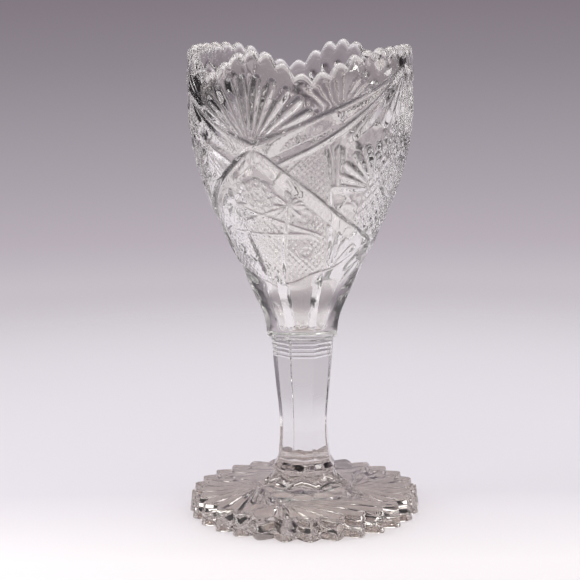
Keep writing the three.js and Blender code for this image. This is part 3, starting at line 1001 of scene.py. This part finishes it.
BACKDROP = [  # elevation seen by the camera in degrees, and display colour
    (-30, (248, 244, 247)), (-18, (243, 238, 243)), (-14.2, (230, 224, 231)),
    (-12.4, (222, 216, 223)), (-10.6, (204, 198, 204)), (-8.8, (184, 175, 184)),
    (-7, (170, 162, 170)), (-3.5, (143, 135, 143)), (-1.8, (131, 122, 131)),
    (4, (96, 89, 96)), (10, (52, 48, 52)), (18, (22, 20, 22)),
]
# The sweep's glow is painted light of the lit paper; the dark room beside it is painted shade
SWEEP_START = 0.15
SWEEP_RADIUS = 0.65
SWEEP_HEIGHT = 1.0
SWEEP_BEND = 0.12  # radius of the curve between its floor and its wall
SWEEP_SINK = 0.002  # how far its floor lies below the ground
SWEEP_COLUMNS = 240
PAPER_HALF_ANGLE = 29.0  # half of the backdrop's width, seen from the vase
PAPER_EDGE = 4.0  # degrees over which the paper gives way to the dark room beside it
DARK_SIDE_ANGLE = 78.0  # where the dark room ends
DARK_EDGE = 6.0  # degrees over which it ends
DARK_RISE = 0.06  # height over which it sets in above the floor
DARK_SHARE = 0.92  # how much light it takes away
CEILING = 0.03  # level of the dark ceiling
FLOOR_LIGHT = (0.655, 0.65, 0.655, 1)  # plain light from all round, for the floor alone


def backdrop_color(elevation):
    """Scene colour of the backdrop at an elevation in degrees."""
    degrees = [stop[0] for stop in BACKDROP]
    colors = np.array([linear(*stop[1])[:3] for stop in BACKDROP])
    return np.stack([np.interp(elevation, degrees, channel) for channel in colors.T], axis=-1)


def sweep_rows():
    """Radius and height of the sweep's rows: a floor, a curve and a wall."""
    turn = np.linspace(0, np.pi / 2, 9)
    radius = np.concatenate([
        np.linspace(SWEEP_START, SWEEP_RADIUS - SWEEP_BEND, 12)[:-1],
        SWEEP_RADIUS - SWEEP_BEND * (1 - np.sin(turn)),
        np.full(60, SWEEP_RADIUS),
    ])
    height = np.concatenate([
        np.zeros(11),
        SWEEP_BEND * (1 - np.cos(turn)),
        np.linspace(SWEEP_BEND, SWEEP_HEIGHT, 61)[1:],
    ])
    return rows_of(radius[:, None], height[:, None] - SWEEP_SINK, SWEEP_COLUMNS)


def sweep_painted_light_and_shade(azimuth, radius, height):
    """Painted light: the backdrop's gradient as the camera sees it, as a glow, with painted shade
    for the dark room beside the paper.
    """
    elevation = np.degrees(np.arctan2(height - CAMERA_AT[2], radius - CAMERA_AT[1]))
    from_rear = np.abs((azimuth + 180) % 360 - 180)
    beside = smoothstep(from_rear, PAPER_HALF_ANGLE, PAPER_HALF_ANGLE + PAPER_EDGE)
    beside = beside * (1 - smoothstep(from_rear, DARK_SIDE_ANGLE, DARK_SIDE_ANGLE + DARK_EDGE))
    # Painted shade of the dark room beside the paper
    dark = beside * smoothstep(height, 0, DARK_RISE)
    return backdrop_color(elevation) * (1 - DARK_SHARE * dark[..., None])


def sweep_material():
    """A plain glow in the mesh's colours, which are painted light and painted shade."""
    made, nodes, links = new_material("sweep")
    made.cycles.emission_sampling = "NONE"
    nodes.clear()
    painted_light_and_shade = nodes.new("ShaderNodeVertexColor")
    painted_light_and_shade.layer_name = "sweep_painted_light_and_shade"
    glow = nodes.new("ShaderNodeEmission")
    out = nodes.new("ShaderNodeOutputMaterial")
    links.new(painted_light_and_shade.outputs["Color"], glow.inputs["Color"])
    links.new(glow.outputs[0], out.inputs["Surface"])
    return made


def make_sweep():
    """The paper sweep behind the vase and the dark room beside it, which only the glass shows. It is
    no lamp: its glow is painted light of the lit paper, and the room's darkness is painted shade.
    """
    azimuth = np.arange(SWEEP_COLUMNS) * 360 / SWEEP_COLUMNS
    radius, height = sweep_rows()
    angle = np.radians(azimuth)
    points = np.stack([radius * np.sin(angle), radius * np.cos(angle), height], axis=-1)
    color = sweep_painted_light_and_shade(azimuth, radius, height)
    mesh = bpy.data.meshes.new("sweep")
    mesh.from_pydata(points.reshape(-1, 3).tolist(), [], grid_faces(*radius.shape).tolist())
    paint = mesh.color_attributes.new("sweep_painted_light_and_shade", "FLOAT_COLOR", "POINT")
    flat = np.concatenate([color.reshape(-1, 3), np.ones((radius.size, 1))], axis=1)
    paint.data.foreach_set("color", flat.ravel())
    mesh.materials.append(sweep_material())
    sweep = add_object("sweep", mesh)
    sweep.visible_camera = False
    sweep.visible_diffuse = False
    sweep.visible_shadow = False


def make_world():
    """A backdrop that darkens upwards for the camera, a plain level for light on the floor, and a
    dark ceiling for the glass."""
    world = bpy.data.worlds.new("studio")
    bpy.context.scene.world = world
    world.use_nodes = True
    nodes, links = world.node_tree.nodes, world.node_tree.links
    nodes.clear()
    where = nodes.new("ShaderNodeTexCoord")
    parts = nodes.new("ShaderNodeSeparateXYZ")
    elevation = nodes.new("ShaderNodeMath")
    elevation.operation = "ARCSINE"
    links.new(where.outputs["Generated"], parts.inputs[0])
    links.new(parts.outputs["Z"], elevation.inputs[0])
    low, high = (math.radians(BACKDROP[i][0]) for i in (0, -1))
    spread = set_inputs(nodes.new("ShaderNodeMapRange"), {"From Min": low, "From Max": high})
    links.new(elevation.outputs[0], spread.inputs["Value"])
    ramp = nodes.new("ShaderNodeValToRGB")
    stops = ramp.color_ramp.elements
    while len(stops) < len(BACKDROP):
        stops.new(0.5)
    for stop, (degrees, color) in zip(stops, BACKDROP):
        stop.position = (math.radians(degrees) - low) / (high - low)
        stop.color = linear(*color)
    links.new(spread.outputs["Result"], ramp.inputs["Fac"])
    light_path = nodes.new("ShaderNodeLightPath")
    seen = color_mix(nodes, {"A": (CEILING, CEILING, CEILING, 1)})
    links.new(light_path.outputs["Is Camera Ray"], seen.inputs["Factor"])
    links.new(ramp.outputs["Color"], seen.inputs["B"])
    plain = color_mix(nodes, {"B": FLOOR_LIGHT})
    links.new(light_path.outputs["Is Diffuse Ray"], plain.inputs["Factor"])
    links.new(seen.outputs["Result"], plain.inputs["A"])
    background = nodes.new("ShaderNodeBackground")
    out = nodes.new("ShaderNodeOutputWorld")
    links.new(plain.outputs["Result"], background.inputs["Color"])
    links.new(background.outputs[0], out.inputs["Surface"])


def area_light(name, position, target, size, power):
    """A soft rectangular light that is turned to a target."""
    data = bpy.data.lights.new(name, "AREA")
    data.shape = "RECTANGLE"
    data.size, data.size_y = size
    data.energy = power
    lamp = add_object(name, data)
    lamp.location = position
    lamp.rotation_mode = "QUATERNION"
    lamp.rotation_quaternion = (Vector(target) - Vector(position)).to_track_quat("-Z", "Y")
    lamp.visible_camera = False


def make_lights():
    """Three soft lights: a broad one above and a weak one at each side."""
    area_light("top_softbox", (0.0, 0.25, 1.15), (0, 0, 0.1), (0.9, 0.6), 4.4)
    area_light("left_softbox", (-0.58, -0.2, 0.42), (0, 0, 0.15), (0.2, 0.46), 1.3)
    area_light("right_softbox", (0.6, 0.06, 0.42), (0, 0, 0.15), (0.08, 0.38), 0.5)


def make_camera():
    """The camera that was fitted to the photograph."""
    data = bpy.data.cameras.new("camera")
    data.sensor_width = CAMERA_SENSOR
    data.sensor_fit = "HORIZONTAL"
    data.lens = CAMERA_LENS
    camera = add_object("camera", data)
    forward = (Vector(CAMERA_AIM) - Vector(CAMERA_AT)).normalized()
    level_right = forward.cross(Vector((0, 0, 1))).normalized()
    level_up = level_right.cross(forward)
    right = level_right * math.cos(CAMERA_ROLL) + level_up * math.sin(CAMERA_ROLL)
    up = level_up * math.cos(CAMERA_ROLL) - level_right * math.sin(CAMERA_ROLL)
    turn = Matrix((right, up, -forward)).transposed()
    camera.matrix_world = Matrix.Translation(CAMERA_AT) @ turn.to_4x4()
    bpy.context.scene.camera = camera


make_ground()
make_sweep()
make_world()
make_lights()
make_camera()
scene = bpy.context.scene
scene.view_settings.view_transform = "Standard"
scene.cycles.max_bounces = 32
scene.cycles.transmission_bounces = 32
scene.cycles.glossy_bounces = 16
scene.cycles.transparent_max_bounces = 32
